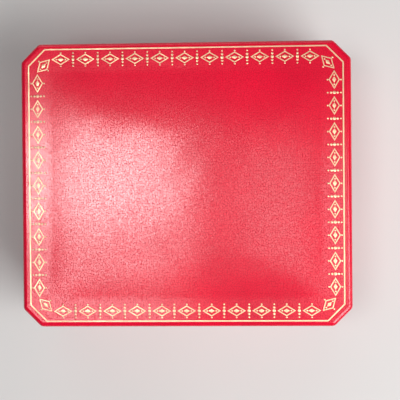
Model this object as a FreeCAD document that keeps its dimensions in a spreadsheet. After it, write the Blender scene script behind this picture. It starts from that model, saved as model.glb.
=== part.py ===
import FreeCAD, Part
import math
import os
import re
import Sketcher

# A leather-covered keepsake box with cut corners: two wooden carcasses joined by stop hinges at the rear
# and held shut by a push-button catch at the front. The origin is on the table under the middle of the
# box, with the front towards -Y and the hinges towards +Y.

# Driving dimensions in millimetres and degrees
SIZES = {
    # Outside of the box
    "box_width": 165,
    "box_depth": 142,
    "corner_cut": 9,
    "base_height": 40,
    "lid_height": 23.5,
    "rim_gap": 0.3,
    # Carcasses and their covers
    "leather": 1,
    "wall": 9,
    "floor_board": 4,
    "top_board": 4,
    "felt": 1.2,
    "felt_inset": 2.5,
    "turn_under": 13,
    "card_gap": 0.3,
    "edge_round": 2.4,
    "corner_round": 2.6,
    "rim_round": 0.6,
    # Padded field of the lid
    "field_inset": 13,
    "field_rise": 1,
    "shoulder": 30,
    # Linings and pads of the inside
    "lining": 2,
    "lining_round": 0.6,
    "lip_height": 3.5,
    "lip_clearance": 0.5,
    "lid_lining": 1.5,
    "lid_lining_clearance": 0.6,
    "pad_gap": 0.3,
    "pad_draw": 0.5,
    "floor_pad": 3.2,
    "lid_pad": 4,
    "pad_shoulder": 9,
    # Stop hinges
    "groove_depth": 3.5,
    "open_angle": 95,
    "stop_spare": 2,
    "hinge_spread": 48,
    "hinge_length": 26,
    "leaf": 1.5,
    "let_in_gap": 0.1,
    "barrel": 2,
    "barrel_clearance": 0.3,
    "knuckle_gap": 0.2,
    "pin": 0.8,
    "pin_clearance": 0.05,
    "pin_head": 1.3,
    "pin_head_height": 0.6,
    "hinge_screw_pitch": 17,
    # Countersunk screws
    "screw": 0.8,
    "screw_head": 1.5,
    "screw_head_height": 0.8,
    "screw_length": 7,
    "screw_slot": 0.4,
    "screw_fit": 0.05,
    # Plates of the catch on the two rims
    "plate_length": 28,
    "plate_width": 7,
    "plate": 1.2,
    "plate_screw_pitch": 21,
    "strike_depth": 3.5,
    "strike_width": 8,
    "strike": 1.2,
    "strike_length": 8,
    "nose": 1.2,
    "nose_height": 1.6,
    "slot_clearance": 0.5,
    # Catch in the front wall
    "button_drop": 12,
    "button_travel": 1.4,
    "button": 3.8,
    "button_rim": 0.7,
    "button_dome": 0.8,
    "button_clearance": 0.15,
    "stem": 2,
    "stem_clearance": 0.05,
    "tenon": 1.2,
    "bezel_flange": 6,
    "bezel_cup": 5,
    "bezel_rise": 0.9,
    "bezel_edge": 0.4,
    "bezel_sink": 1.8,
    "bezel_floor": 0.8,
    "bezel_tube": 3,
    "bezel_fit": 0.05,
    "catch_skin": 2,
    "catch_width": 11.2,
    "catch_drop": 3.2,
    "catch_plate": 1,
    "catch_lip": 1.2,
    "catch_lip_height": 1.5,
    "catch_hold": 0.9,
    "catch_slack": 0.2,
    "catch_room": 0.4,
    "catch_rest_gap": 0.1,
    "cover": 0.8,
    "cover_width": 24,
    "cover_overlap": 2,
    "cover_screw_pitch": 18,
    "spring": 0.3,
    "spring_height": 4,
}

doc = FreeCAD.newDocument("keepsake_box")
sheet = doc.addObject("Spreadsheet::Sheet", "Sizes")
for row, (alias, size) in enumerate(SIZES.items(), 1):
    sheet.set(f"A{row}", alias)
    sheet.set(f"B{row}", str(size))
    sheet.setAlias(f"B{row}", alias)
doc.recompute()
ALIASES = re.compile(r"\b(" + "|".join(SIZES) + r")\b")

# Faces and levels that several pieces share, as expressions
HALF_X = "(box_width / 2)"
HALF_Y = "(box_depth / 2)"
CORE_X = "(box_width / 2 - leather)"
CORE_Y = "(box_depth / 2 - leather)"
WELL_X = "(box_width / 2 - leather - wall)"
WELL_Y = "(box_depth / 2 - leather - wall)"
FLOOR_UNDER = "(felt + leather)"
FLOOR_TOP = "(felt + leather + floor_board)"
BASE_WOOD_TOP = "(base_height - leather)"
LIP_TOP = "(base_height + lip_height)"
LID_RIM = "(base_height + rim_gap)"
LID_WOOD_RIM = "(base_height + rim_gap + leather)"
LID_TOP = "(base_height + rim_gap + lid_height)"
LID_WOOD_TOP = "(base_height + rim_gap + lid_height - leather)"
CEILING = "(base_height + rim_gap + lid_height - leather - top_board)"
AXIS_Y = "(box_depth / 2 - groove_depth)"
AXIS_Z = "(base_height + rim_gap / 2)"
STOP_FACE = "((open_angle + stop_spare) / 2 * 1 deg)"
BUTTON_Z = "(base_height - button_drop)"
PLATE_Y = "(-(box_depth / 2 - leather - wall / 2))"
TONGUE_Y = "(strike_depth - box_depth / 2)"
NOSE_Y = "(strike_depth + strike + nose - box_depth / 2)"
NOSE_TOP = "(base_height - strike_length + nose_height)"
LIP_Y = "(strike_depth + strike + nose - catch_hold - box_depth / 2)"
CATCH_Y = "(strike_depth + strike + nose - catch_hold + catch_lip - box_depth / 2)"
CATCH_BACK_Y = "(strike_depth + strike + nose - catch_hold + catch_lip + catch_plate - box_depth / 2)"
MORTISE_Y = "(leather + catch_skin - box_depth / 2)"
MORTISE_FLOOR = "(base_height - button_drop - catch_drop - catch_room)"
COVER_Y = "(leather + wall - cover - box_depth / 2)"
SIDES = {"left": -1, "right": 1}

sub_parts = []


def bound(text):
    """The expression with each size's name pointed at its cell of the sheet."""
    return ALIASES.sub(r"<<Sizes>>.\1", text)


def value(text):
    """What an expression is worth at the sheet's present sizes."""
    result = sheet.evalExpression(bound(text))
    return float(getattr(result, "Value", result))


def bind(item, name, text):
    """Tie one property of a document object to an expression."""
    item.setExpression(name, bound(text))


def keep(item, label):
    """Give a finished sub-part its name and list it for writing."""
    item.Label = label
    sub_parts.append(item)
    return item


def new_body(name):
    return doc.addObject("PartDesign::Body", name)


def sketch_on(body, role, shift="0"):
    """An empty sketch on one of the body's own origin planes, moved along the plane's normal."""
    sketch = body.newObject("Sketcher::SketchObject", body.Name + "_sketch")
    plane = next(item for item in body.Origin.OriginFeatures if item.Role == role)
    sketch.AttachmentSupport = [(plane, "")]
    sketch.MapMode = "FlatFace"
    bind(sketch, "AttachmentOffset.Base.z", shift)
    return sketch


def hold(sketch, kind, places, text):
    """Add one driving dimension to a sketch and tie it to an expression."""
    number = sketch.addConstraint(Sketcher.Constraint(kind, *places, value(text)))
    bind(sketch, f"Constraints[{number}]", text)


def outline(sketch, points, rises={}):
    """A closed outline through points given as pairs of expressions.

    rises maps an edge's number to the height of the arc that it becomes, to the right of the way round.
    """
    corners = [FreeCAD.Vector(value(x), value(y), 0) for x, y in points]
    count = len(points)
    first = sketch.GeometryCount
    for k in range(count):
        start = corners[k]
        end = corners[(k + 1) % count]
        if k in rises:
            across = (end - start).cross(FreeCAD.Vector(0, 0, 1)).normalize()
            middle = (start + end) * 0.5 + across * value(rises[k])
            sketch.addGeometry(Part.Arc(start, middle, end))
        else:
            sketch.addGeometry(Part.LineSegment(start, end))

    def end_number(k, corner):
        return 1 if sketch.getPoint(first + k, 1).distanceToPoint(corner) < 1e-6 else 2

    for k in range(count):
        after = (k + 1) % count
        corner = corners[after]
        ends = (first + k, end_number(k, corner), first + after, end_number(after, corner))
        sketch.addConstraint(Sketcher.Constraint("Coincident", *ends))
        x, y = points[after]
        hold(sketch, "DistanceX", (-1, 1) + ends[2:], x)
        hold(sketch, "DistanceY", (-1, 1) + ends[2:], y)
    for k, rise in rises.items():
        x0, y0 = points[k]
        x1, y1 = points[(k + 1) % count]
        chord = f"((({x1}) - ({x0}))^2 + (({y1}) - ({y0}))^2)"
        hold(sketch, "Radius", (first + k,), f"abs({chord} / (8 * ({rise})) + ({rise}) / 2)")
    return sketch


def rectangle(x0, x1, y0, y1):
    return [(x0, y0), (x1, y0), (x1, y1), (x0, y1)]


def circle(sketch, x, y, radius):
    centre = FreeCAD.Vector(value(x), value(y), 0)
    number = sketch.addGeometry(Part.Circle(centre, FreeCAD.Vector(0, 0, 1), value(radius)))
    hold(sketch, "DistanceX", (-1, 1, number, 3), x)
    hold(sketch, "DistanceY", (-1, 1, number, 3), y)
    hold(sketch, "Radius", (number,), radius)
    return sketch


def pad(body, sketch, length, side="One side"):
    feature = body.newObject("PartDesign::Pad", body.Name + "_pad")
    feature.Profile = sketch
    feature.SideType = side
    bind(feature, "Length", length)
    doc.recompute()


def pocket(body, sketch, length):
    """Cut a sketch out of the body to both sides of its plane, and make sure that something was cut."""
    before = body.Shape.Volume
    feature = body.newObject("PartDesign::Pocket", body.Name + "_pocket")
    feature.Profile = sketch
    feature.SideType = "Symmetric"
    bind(feature, "Length", length)
    doc.recompute()
    if body.Shape.Volume >= before:
        raise RuntimeError(body.Name + ": a pocket cut nothing")


def revolve(body, sketch, axis):
    feature = body.newObject("PartDesign::Revolution", body.Name + "_revolution")
    feature.Profile = sketch
    feature.ReferenceAxis = (sketch, [axis])
    feature.Angle = 360
    doc.recompute()


def loft(body, sketches, ruled=False):
    feature = body.newObject("PartDesign::AdditiveLoft", body.Name + "_loft")
    feature.Profile = sketches[0]
    feature.Sections = sketches[1:]
    feature.Ruled = ruled
    doc.recompute()


def soften(body, radius, chosen):
    """Round those edges of the body's last feature that a test picks."""
    base = body.Tip
    names = [f"Edge{k}" for k, edge in enumerate(base.Shape.Edges, 1) if chosen(edge)]
    feature = body.newObject("PartDesign::Fillet", body.Name + "_fillet")
    feature.Base = (base, names)
    bind(feature, "Radius", radius)
    doc.recompute()


def upright(edge):
    box = edge.BoundBox
    return box.ZLength > 1 and box.XLength < 1e-6 and box.YLength < 1e-6


def level_with(text):
    """A test for the edges that lie in one horizontal plane."""
    height = value(text)
    return lambda edge: abs(edge.BoundBox.ZMin - height) < 1e-6 and abs(edge.BoundBox.ZMax - height) < 1e-6


def place(item, x="0", y="0", z="0"):
    for axis, text in zip("xyz", (x, y, z)):
        bind(item, "Placement.Base." + axis, text)
    return item


def block(x0, x1, y0, y1, z0, z1):
    """A box between six faces, used to take room out of other pieces."""
    item = doc.addObject("Part::Box", "room")
    bind(item, "Length", f"({x1}) - ({x0})")
    bind(item, "Width", f"({y1}) - ({y0})")
    bind(item, "Height", f"({z1}) - ({z0})")
    return place(item, x0, y0, z0)


def rod(axis, turn, radius, length, x, y, z):
    """A cylinder from a point along a turned axis, used to take room out of other pieces."""
    item = doc.addObject("Part::Cylinder", "bore")
    item.Placement = FreeCAD.Placement(FreeCAD.Vector(), FreeCAD.Rotation(axis, turn))
    bind(item, "Radius", radius)
    bind(item, "Height", length)
    return place(item, x, y, z)


def cut(label, base, *tools):
    """What is left of a solid when others are taken out of it."""
    joined = tools[0]
    if len(tools) > 1:
        joined = doc.addObject("Part::MultiFuse", label + "_room")
        joined.Shapes = tools
    left = doc.addObject("Part::Cut", label)
    left.Base = base
    left.Tool = joined
    return left


def join(label, *solids):
    """Solids made one."""
    joined = doc.addObject("Part::MultiFuse", label)
    joined.Shapes = solids
    joined.Refine = True
    return joined


# Plan of the box, with its cut corners


def octagon(inset):
    """The plan drawn in from the leather's outer face, its corner cuts running parallel."""
    x = f"({HALF_X} - ({inset}))"
    y = f"({HALF_Y} - ({inset}))"
    leg = f"(corner_cut - ({inset}) * (2 - sqrt(2)))"
    front_right = [(f"{x} - {leg}", f"-{y}"), (x, f"{leg} - {y}")]
    rear_right = [(x, f"{y} - {leg}"), (f"{x} - {leg}", y)]
    rear_left = [(f"{leg} - {x}", y), (f"-{x}", f"{y} - {leg}")]
    front_left = [(f"-{x}", f"{leg} - {y}"), (f"{leg} - {x}", f"-{y}")]
    return front_right + rear_right + rear_left + front_left


def octagon_plate(name, inset, bottom, top):
    body = new_body(name)
    sketch = outline(sketch_on(body, "XY_Plane", bottom), octagon(inset))
    pad(body, sketch, f"{top} - {bottom}")
    return body


def rear_relief(turn, sink):
    """A slab that cuts a rear edge back to a face through the hinge axis, where the open lid stops.

    turn is -1 for the base and 1 for the lid; sink moves the face into the carcass, under the leather.
    """
    thickness = "(4 * groove_depth)"
    item = doc.addObject("Part::Box", "rear_relief")
    item.Placement = FreeCAD.Placement(FreeCAD.Vector(), FreeCAD.Rotation(FreeCAD.Vector(1, 0, 0), turn))
    bind(item, "Placement.Rotation.Angle", f"{turn} * {STOP_FACE}")
    bind(item, "Length", "2 * box_width")
    bind(item, "Width", thickness)
    bind(item, "Height", thickness)
    under = f"({sink})" if turn < 0 else f"({thickness} - ({sink}))"
    y = f"{AXIS_Y} + {turn} * {under} * sin({STOP_FACE})"
    return place(item, "-box_width", y, f"{AXIS_Z} - {under} * cos({STOP_FACE})")


def hinge_room(bottom, top):
    """Room for the leaves, barrels and pin heads of both hinges in one rim."""
    rooms = []
    for side in SIDES.values():
        middle = f"{side} * hinge_spread"
        half = "(hinge_length / 2 + let_in_gap)"
        x0, x1 = f"{middle} - {half}", f"{middle} + {half}"
        rooms.append(block(x0, x1, WELL_Y, AXIS_Y, bottom, top))
        reach = "(hinge_length / 2 + pin_head_height + barrel_clearance)"
        channel = (f"{middle} - {reach}", AXIS_Y, AXIS_Z)
        rooms.append(rod(FreeCAD.Vector(0, 1, 0), 90, "barrel + barrel_clearance", f"2 * {reach}", *channel))
    return rooms


def plate_room(bottom, top):
    """Room in the front of one rim for the plate of the catch."""
    half_x = "(plate_length / 2 + let_in_gap)"
    half_y = "(plate_width / 2 + let_in_gap)"
    return block(f"-{half_x}", half_x, f"{PLATE_Y} - {half_y}", f"{PLATE_Y} + {half_y}", bottom, top)


# Screws, which share one form; their seats are the same form with the fit added

SCREW_SIDES = 16


def many_sided(radius):
    """A regular outline in place of a circle, for a small round form that repeats."""
    turns = [2 * math.pi * (k + 0.5) / SCREW_SIDES for k in range(SCREW_SIDES)]
    return [(f"{radius} * ({math.cos(turn):.6f})", f"{radius} * ({math.sin(turn):.6f})") for turn in turns]


def screw_master(name, fit):
    """A countersunk screw that points down from the origin."""
    body = new_body(name)
    shank = many_sided(f"(screw + {fit})")
    head = many_sided(f"(screw_head + {fit})")
    pad(body, outline(sketch_on(body, "XY_Plane", f"-(screw_length + {fit})"), shank), f"screw_length + {fit}")
    neck = outline(sketch_on(body, "XY_Plane", "-screw_head_height"), shank)
    loft(body, [neck, outline(sketch_on(body, "XY_Plane"), head)], ruled=True)
    return body


screw = screw_master("screw", "0")
half_slot = "(screw_slot / 2)"
slot_side = "(2 * screw_head)"
pocket(
    screw,
    outline(sketch_on(screw, "XY_Plane"), rectangle(f"-{slot_side}", slot_side, f"-{half_slot}", half_slot)),
    "screw_head_height",
)
screw_seat = screw_master("screw_seat", "screw_fit")


def screw_group(label, master, turn, places):
    """One form set at several places, turned about X from pointing down."""
    links = []
    for spot in places:
        link = doc.addObject("App::Link", label + "_one")
        link.LinkedObject = master
        link.Placement = FreeCAD.Placement(FreeCAD.Vector(), FreeCAD.Rotation(FreeCAD.Vector(1, 0, 0), turn))
        links.append(place(link, *spot))
    group = doc.addObject("Part::Compound", label)
    group.Links = links
    return group


def screws(label, turn, places):
    """The screws of one joint as a sub-part, and their seats for the pieces that they go through."""
    keep(screw_group(label, screw, turn, places), label)
    return screw_group(label + "_seats", screw_seat, turn, places)


POINTS_DOWN = 0
POINTS_UP = 180
POINTS_FORWARD = -90
HINGE_SCREW_Y = f"(({WELL_Y} + {AXIS_Y} - barrel) / 2)"


def hinge_screw_places(level):
    return [
        (f"{side} * hinge_spread + {end} * hinge_screw_pitch / 2", HINGE_SCREW_Y, level)
        for side in SIDES.values()
        for end in (-1, 1)
    ]


def pair_places(pitch, y, z):
    return [(f"{end} * {pitch} / 2", y, z) for end in (-1, 1)]


COVER_SCREW_Z = BUTTON_Z
base_hinge_seats = screws("base_hinge_screws", POINTS_DOWN, hinge_screw_places("base_height"))
lid_hinge_seats = screws("lid_hinge_screws", POINTS_UP, hinge_screw_places(LID_RIM))
face_plate_seats = screws(
    "catch_face_plate_screws", POINTS_DOWN, pair_places("plate_screw_pitch", PLATE_Y, "base_height")
)
strike_seats = screws("strike_screws", POINTS_UP, pair_places("plate_screw_pitch", PLATE_Y, LID_RIM))
cover_seats = screws(
    "catch_cover_screws", POINTS_FORWARD, pair_places("cover_screw_pitch", f"-{WELL_Y}", COVER_SCREW_Z)
)


# Boards of the two carcasses, mitred at the corners, which are then cut off


def board(name, edge, bottom, top):
    """One wall of a carcass between its two mitres; edge is front, rear, left or right."""
    leg = "(corner_cut - leather * (2 - sqrt(2)))"
    sign = -1 if edge in ("front", "left") else 1
    if edge in ("front", "rear"):
        long_core, long_well, core, well = CORE_X, WELL_X, CORE_Y, WELL_Y
    else:
        long_core, long_well, core, well = CORE_Y, WELL_Y, CORE_X, WELL_X
    half = [
        (long_well, well),
        (f"{long_core} - {leg} / 2", f"{core} - {leg} / 2"),
        (f"{long_core} - {leg}", core),
    ]
    run = half + [(f"-({along})", across) for along, across in reversed(half)]
    points = [(along, f"{sign} * ({across})") for along, across in run]
    if edge in ("left", "right"):
        points = [(across, along) for along, across in points]
    body = new_body(name)
    pad(body, outline(sketch_on(body, "XY_Plane", bottom), points), f"{top} - {bottom}")
    return body


for edge in ("left", "right"):
    keep(board(f"base_{edge}_board", edge, FLOOR_TOP, BASE_WOOD_TOP), f"base_{edge}_board")
    keep(board(f"lid_{edge}_board", edge, LID_WOOD_RIM, CEILING), f"lid_{edge}_board")

base_rear = cut(
    "base_rear_board",
    board("base_rear_blank", "rear", FLOOR_TOP, BASE_WOOD_TOP),
    rear_relief(-1, "leather"),
    base_hinge_seats,
    *hinge_room("base_height - leaf", "base_height"),
)
keep(base_rear, "base_rear_board")
lid_rear = cut(
    "lid_rear_board",
    board("lid_rear_blank", "rear", LID_WOOD_RIM, CEILING),
    rear_relief(1, "leather"),
    lid_hinge_seats,
    *hinge_room(LID_RIM, f"{LID_RIM} + leaf"),
)
keep(lid_rear, "lid_rear_board")
lid_front = cut(
    "lid_front_board",
    board("lid_front_blank", "front", LID_WOOD_RIM, CEILING),
    plate_room(LID_RIM, f"{LID_RIM} + plate"),
    strike_seats,
)
keep(lid_front, "lid_front_board")

COVER_TOP = "(base_height - 2 * plate)"
COVER_BOTTOM = f"({MORTISE_FLOOR} - cover_overlap)"
half_mortise = "(catch_width / 2 + catch_room)"
half_cover_room = "(cover_width / 2 + let_in_gap)"
inward = FreeCAD.Vector(1, 0, 0)
base_front = cut(
    "base_front_board",
    board("base_front_blank", "front", FLOOR_TOP, BASE_WOOD_TOP),
    block(f"-{half_mortise}", half_mortise, MORTISE_Y, f"-{WELL_Y}", MORTISE_FLOOR, "base_height"),
    block(
        f"-{half_cover_room}", half_cover_room, COVER_Y, f"-{WELL_Y}",
        f"{COVER_BOTTOM} - let_in_gap", f"{COVER_TOP} + let_in_gap",
    ),
    rod(inward, -90, "bezel_cup + bezel_fit", "bezel_sink", "0", f"-{HALF_Y}", BUTTON_Z),
    rod(inward, -90, "bezel_tube + bezel_fit", "leather + wall / 2", "0", f"-{HALF_Y}", BUTTON_Z),
    plate_room("base_height - plate", "base_height"),
    face_plate_seats,
    cover_seats,
)
keep(base_front, "base_front_board")

keep(octagon_plate("base_floor_board", "leather", FLOOR_UNDER, FLOOR_TOP), "base_floor_board")
keep(octagon_plate("lid_top_board", "leather", CEILING, LID_WOOD_TOP), "lid_top_board")


# Underside: the felt that the box stands on, and the card that fills inside the turned-under leather

keep(octagon_plate("underside_felt", "felt_inset", "0", "felt"), "underside_felt")
keep(octagon_plate("underside_card", "turn_under + card_gap", "felt", FLOOR_UNDER), "underside_card")


# Padding of the lid and the leather over it, pressed flat along the border


# How far in from the border and how high each step of the field reaches, in shares of shoulder and field_rise
FIELD = ((0, 0), (0.3, 0.42), (0.6, 0.75), (1, 1))


def field_steps(level):
    """The softly padded field above a level, as low steps whose sides lean less towards the middle."""
    steps = []
    for (run, rise), (next_run, next_rise) in zip(FIELD, FIELD[1:]):
        step = doc.addObject("Part::Wedge", "field_step")
        step.Placement = FreeCAD.Placement(FreeCAD.Vector(), FreeCAD.Rotation(FreeCAD.Vector(1, 0, 0), 90))
        bind(step, "Ymin", f"{level} + {rise} * field_rise")
        bind(step, "Ymax", f"{level} + {next_rise} * field_rise")
        for axis, half in (("X", HALF_X), ("Z", HALF_Y)):
            for number, inward in (("", run), ("2", next_run)):
                reach = f"({half} - field_inset - {inward} * shoulder)"
                bind(step, f"{axis}{number}min", f"-{reach}")
                bind(step, f"{axis}{number}max", reach)
        steps.append(step)
    return steps


lid_padding = join("lid_padding", *field_steps(LID_WOOD_TOP))
keep(lid_padding, "lid_padding")

lid_outside = octagon_plate("lid_outside", "0", LID_RIM, LID_TOP)
soften(lid_outside, "corner_round", upright)
soften(lid_outside, "edge_round", level_with(LID_TOP))
soften(lid_outside, "rim_round", level_with(LID_RIM))
lid_raised = join("lid_raised", lid_outside, *field_steps(LID_TOP))
lid_block = octagon_plate("lid_block", "leather", LID_WOOD_RIM, LID_WOOD_TOP)
lid_core = cut("lid_core", lid_block, rear_relief(1, "leather"))
lid_cover = cut(
    "lid_leather_cover",
    lid_raised,
    lid_core,
    lid_padding,
    block(f"-{WELL_X}", WELL_X, f"-{WELL_Y}", WELL_Y, "base_height", CEILING),
    rear_relief(1, "0"),
    plate_room("base_height", f"{LID_RIM} + plate"),
    *hinge_room("base_height", f"{LID_RIM} + leaf"),
)
keep(lid_cover, "lid_leather_cover")

base_outside = octagon_plate("base_outside", "0", "felt", "base_height")
soften(base_outside, "corner_round", upright)
soften(base_outside, "rim_round", level_with("base_height"))
base_block = octagon_plate("base_block", "leather", FLOOR_UNDER, BASE_WOOD_TOP)
base_core = cut("base_core", base_block, rear_relief(-1, "leather"))
bezel_front = f"-{HALF_Y} - bezel_rise"
base_cover = cut(
    "base_leather_cover",
    base_outside,
    base_core,
    octagon_plate("underside_window", "turn_under", "0", FLOOR_TOP),
    block(f"-{WELL_X}", WELL_X, f"-{WELL_Y}", WELL_Y, FLOOR_TOP, LID_RIM),
    rear_relief(-1, "0"),
    rod(inward, -90, "bezel_cup + bezel_fit", "bezel_rise + bezel_sink", "0", bezel_front, BUTTON_Z),
    plate_room("base_height - plate", LID_RIM),
    *hinge_room("base_height - leaf", LID_RIM),
)
keep(base_cover, "base_leather_cover")


# Lining boards of the well, whose tops stand up as a lip inside the lid


def lining_board(label, edge, thickness, points):
    """A lining board of one wall, from its section as distances in from the wall and levels."""
    sign = -1 if edge in ("front", "left") else 1
    across_wall = edge in ("front", "rear")
    well = WELL_Y if across_wall else WELL_X
    length = f"2 * {WELL_X}" if across_wall else f"2 * ({WELL_Y} - {thickness})"
    body = new_body(label)
    sketch = sketch_on(body, "YZ_Plane" if across_wall else "XZ_Plane")
    outline(sketch, [(f"{sign} * ({well} - {depth})", level) for depth, level in points])
    pad(body, sketch, length, "Symmetric")
    return keep(body, label)


base_lining_section = [
    ("0", FLOOR_TOP), ("0", "base_height"), ("lip_clearance", "base_height"),
    ("lip_clearance", LIP_TOP), ("lining", LIP_TOP), ("lining", FLOOR_TOP),
]
LID_LINING_END = f"({LIP_TOP} + lid_lining_clearance)"
lid_lining_section = [
    ("0", LID_LINING_END), ("0", CEILING), ("lid_lining", CEILING), ("lid_lining", LID_LINING_END),
]
for edge in ("front", "rear", "left", "right"):
    card = lining_board(f"base_{edge}_lining", edge, "lining", base_lining_section)
    soften(card, "lining_round", level_with(LIP_TOP))
    card = lining_board(f"lid_{edge}_lining", edge, "lid_lining", lid_lining_section)
    soften(card, "lining_round", level_with(LID_LINING_END))


# Padded floor of the well and padded panel of the lid, each crowned, with its sides drawn in


def cushion(label, thickness, lining, seat, sign):
    """A padded panel on a flat seat; sign is 1 where its crown faces up and -1 where it faces down."""
    body = new_body(label)
    sketches = []
    for inset, rise in (("pad_gap + 0.6 * pad_draw", 0), ("pad_gap", 0.3), ("pad_gap + pad_draw", 0.6),
                        ("pad_gap + 0.2 * pad_shoulder", 0.78), ("pad_gap + 0.5 * pad_shoulder", 0.93),
                        ("pad_gap + pad_shoulder", 1)):
        half_x = f"({WELL_X} - {lining} - ({inset}))"
        half_y = f"({WELL_Y} - {lining} - ({inset}))"
        sketch = sketch_on(body, "XY_Plane", f"{seat} + {sign * rise} * {thickness}")
        draws = {k: "-pad_draw" for k in range(4)}
        sketches.append(outline(sketch, rectangle(f"-{half_x}", half_x, f"-{half_y}", half_y), draws))
    loft(body, sketches, ruled=True)
    return keep(body, label)


cushion("floor_cushion", "floor_pad", "lining", FLOOR_TOP, 1)
cushion("lid_cushion", "lid_pad", "lid_lining", CEILING, -1)


# Stop hinges: three knuckles, two on the base leaf and one on the lid leaf, on a riveted pin

KNUCKLES = 3
KNUCKLE_PITCH = f"(hinge_length / {KNUCKLES})"


def hinge_leaf(label, side, plate_bottom, first_knuckle, seats):
    """A leaf with every second knuckle of the barrel, starting at the given one."""
    body = new_body(label + "_blank")
    half = "(hinge_length / 2)"
    plate = outline(sketch_on(body, "XY_Plane", plate_bottom), rectangle(f"-{half}", half, WELL_Y, AXIS_Y))
    pad(body, plate, "leaf")
    pad(body, circle(sketch_on(body, "YZ_Plane"), AXIS_Y, AXIS_Z, "barrel"), "hinge_length", "Symmetric")
    bore = circle(sketch_on(body, "YZ_Plane"), AXIS_Y, AXIS_Z, "pin + pin_clearance")
    pocket(body, bore, "2 * hinge_length")
    notches = sketch_on(body, "XY_Plane", AXIS_Z)
    reach = "(barrel + barrel_clearance)"
    for number in range(1 - first_knuckle, KNUCKLES, 2):
        start = f"({number} * {KNUCKLE_PITCH} - {half} - knuckle_gap / 2)"
        end = f"({number + 1} * {KNUCKLE_PITCH} - {half} + knuckle_gap / 2)"
        outline(notches, rectangle(start, end, f"{AXIS_Y} - {reach}", f"{AXIS_Y} + {reach}"))
    pocket(body, notches, "4 * barrel")
    place(body, f"{side} * hinge_spread")
    return keep(cut(label, body, seats), label)


def hinge_pin(label, side):
    body = new_body(label)
    half = "(hinge_length / 2 + pin_clearance)"
    end = f"({half} + pin_head_height)"
    run = [(end, "0"), (end, "pin_head"), (half, "pin_head"), (half, "pin")]
    points = run + [(f"-({x})", y) for x, y in reversed(run)]
    revolve(body, outline(sketch_on(body, "XY_Plane"), points), "H_Axis")
    return keep(place(body, f"{side} * hinge_spread", AXIS_Y, AXIS_Z), label)


for name, side in SIDES.items():
    hinge_leaf(f"{name}_hinge_base_leaf", side, "base_height - leaf", 0, base_hinge_seats)
    hinge_leaf(f"{name}_hinge_lid_leaf", side, LID_RIM, 1, lid_hinge_seats)
    hinge_pin(f"{name}_hinge_pin", side)


# Catch: a strike on the lid drops through a plate in the base's rim and hooks under the sprung lip


def rim_plate(name, bottom):
    body = new_body(name)
    half_x = "(plate_length / 2)"
    half_y = "(plate_width / 2)"
    points = rectangle(f"-{half_x}", half_x, f"{PLATE_Y} - {half_y}", f"{PLATE_Y} + {half_y}")
    pad(body, outline(sketch_on(body, "XY_Plane", bottom), points), "plate")
    return body


face_plate = rim_plate("catch_face_plate_blank", "base_height - plate")
half_slot_x = "(strike_width / 2 + slot_clearance)"
slot = rectangle(f"-{half_slot_x}", half_slot_x, f"{TONGUE_Y} - slot_clearance", f"{NOSE_Y} + slot_clearance")
pocket(face_plate, outline(sketch_on(face_plate, "XY_Plane", "base_height"), slot), "4 * plate")
keep(cut("catch_face_plate", face_plate, face_plate_seats), "catch_face_plate")

strike = rim_plate("strike_blank", LID_RIM)
tongue_back = f"({TONGUE_Y} + strike)"
tongue_end = "(base_height - strike_length)"
tongue = [
    (TONGUE_Y, tongue_end), (tongue_back, tongue_end), (NOSE_Y, f"{NOSE_TOP} - nose_height / 3"),
    (NOSE_Y, NOSE_TOP), (tongue_back, NOSE_TOP),
    (tongue_back, f"{LID_RIM} + plate"), (TONGUE_Y, f"{LID_RIM} + plate"),
]
pad(strike, outline(sketch_on(strike, "YZ_Plane"), tongue), "strike_width", "Symmetric")
keep(cut("strike", strike, strike_seats), "strike")

bezel = new_body("button_bezel")
stem_bore = "(stem + stem_clearance)"
cup_bore = "(button + button_clearance)"
tube_end = f"({CATCH_Y} + box_depth / 2 - catch_rest_gap)"
cup_floor = "(bezel_sink - bezel_floor)"
bezel_section = [
    (stem_bore, tube_end), (stem_bore, cup_floor), (cup_bore, cup_floor), (cup_bore, "-bezel_rise"),
    ("bezel_flange - 2 * bezel_edge", "-bezel_rise"), ("bezel_flange", "-bezel_edge"), ("bezel_flange", "0"),
    ("bezel_cup", "0"), ("bezel_cup", "bezel_sink"), ("bezel_tube", "bezel_sink"), ("bezel_tube", tube_end),
]
revolve(bezel, outline(sketch_on(bezel, "XY_Plane"), bezel_section), "V_Axis")
keep(place(bezel, "0", f"-{HALF_Y}", BUTTON_Z), "button_bezel")

button = new_body("push_button")
head_back = f"({cup_floor} - button_travel - catch_rest_gap)"
head_front = f"({head_back} - button_rim)"
stem_end = f"({CATCH_Y} + box_depth / 2)"
tenon_end = f"({CATCH_BACK_Y} + box_depth / 2)"
button_section = [
    ("0", f"{head_front} - button_dome"), ("0", tenon_end), ("tenon", tenon_end), ("tenon", stem_end),
    ("stem", stem_end), ("stem", head_back), ("button", head_back), ("button", head_front),
]
dome_edge = len(button_section) - 1
dome_reach = "(button^2 + button_dome^2)"
dome_radius = f"({dome_reach} / (2 * button_dome))"
dome_rise = f"(sqrt({dome_radius}^2 - {dome_reach} / 4) - {dome_radius})"
revolve(button, outline(sketch_on(button, "XY_Plane"), button_section, {dome_edge: dome_rise}), "V_Axis")
keep(place(button, "0", f"-{HALF_Y}", BUTTON_Z), "push_button")

catch = new_body("catch_plate")
lip_under = f"({NOSE_TOP} + catch_slack)"
lip_top = f"({lip_under} + catch_lip_height)"
catch_bottom = f"({BUTTON_Z} - catch_drop)"
catch_section = [
    (CATCH_Y, catch_bottom), (CATCH_BACK_Y, catch_bottom), (CATCH_BACK_Y, lip_top), (CATCH_Y, lip_top),
    (LIP_Y, f"{lip_under} + catch_lip_height / 3"), (LIP_Y, lip_under), (CATCH_Y, lip_under),
]
pad(catch, outline(sketch_on(catch, "YZ_Plane"), catch_section), "catch_width", "Symmetric")
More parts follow.
